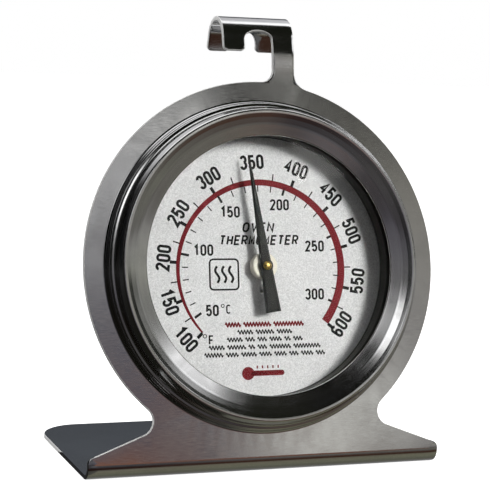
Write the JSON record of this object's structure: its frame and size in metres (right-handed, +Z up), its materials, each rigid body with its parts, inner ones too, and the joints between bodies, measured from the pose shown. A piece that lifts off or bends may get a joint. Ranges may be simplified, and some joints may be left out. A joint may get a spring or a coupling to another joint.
{
  "type": "oven thermometer",
  "caption": "Round dial oven thermometer in a leaning folded steel stand with a flat foot and a rack hook; a bimetal coil turns the pointer.",
  "frame": {"origin": "middle of the flat underside of the foot, on the surface that the thermometer stands on", "axes": "+Z up, the dial faces -Y and slightly up, +X to the right as seen from the front"},
  "size_m": [0.0762, 0.0486, 0.0918],
  "materials": {
    "brushed_steel": "brushed",
    "polished_steel": "polished",
    "dark_steel": "satin",
    "case_steel": "satin",
    "dial": "satin",
    "glass": "clear",
    "gasket": "matte",
    "brass": "satin",
    "bimetal": "satin",
    "bush": "satin",
    "pointer": "satin",
    "print_black": "matte",
    "print_red": "matte"
  },
  "bodies": {
    "case": {"stand_frame": "brushed_steel", "retaining_ring": "case_steel", "bezel_ring": "polished_steel", "lens_gasket": "gasket", "lens_glass": "glass", "spacer_ring": "dark_steel", "dial_plate": "dial", "case_cup": "case_steel", "bridge_bracket": "case_steel", "bridge_rivet_left": "brass", "bridge_rivet_right": "brass", "coil_anchor": "case_steel", "coil_anchor_rivet": "brass", "coil_end_pin": "brass", "front_bush": "bush", "rear_bush": "brass", "bimetal_coil": "bimetal"},
    "pointer_shaft": {"spindle": "brass", "coil_collet": "brass", "pointer": "pointer", "pointer_cap": "brass"}
  },
  "joints": [
    {"name": "pointer_turn", "type": "hinge", "parent": "case", "child": "pointer_shaft", "pos_m": [0, -0.01602, 0.04143], "axis": [0, 0.9806, -0.1959], "range_deg": [-142, 142], "stiffness_Nm_per_rad": 0.002}
  ]
}
